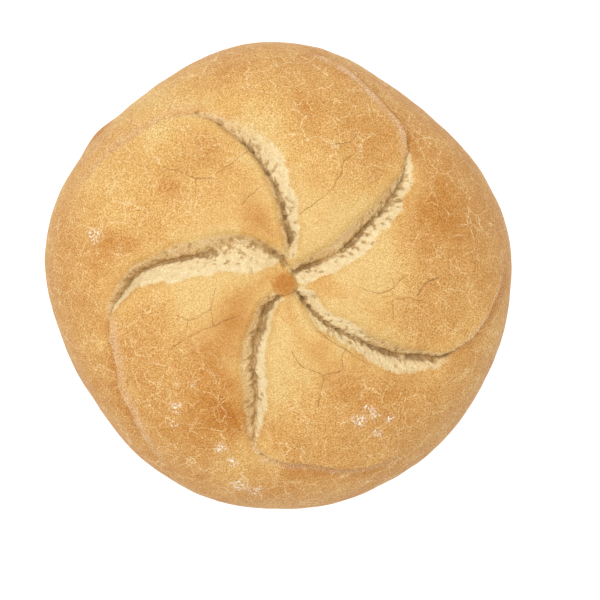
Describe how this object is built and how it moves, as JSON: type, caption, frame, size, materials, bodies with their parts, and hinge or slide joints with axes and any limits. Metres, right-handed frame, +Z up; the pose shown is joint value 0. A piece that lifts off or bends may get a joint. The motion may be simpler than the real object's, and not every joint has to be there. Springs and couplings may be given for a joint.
{
  "type": "bread roll",
  "caption": "Round baked wheat roll with a domed crown, curved cuts swirling out of a small centre button and a flat sole to rest on.",
  "frame": {"origin": "centre of the roll's bounding box at the level of its flat sole", "axes": "+Z up through the crown, +X and +Y level; the cuts swirl counter-clockwise as they run outwards, seen from above"},
  "size_m": [0.1002, 0.1002, 0.0494],
  "materials": {
    "crust": "matte"
  },
  "bodies": {
    "root": {"bread_roll": "crust"}
  },
  "joints": []
}
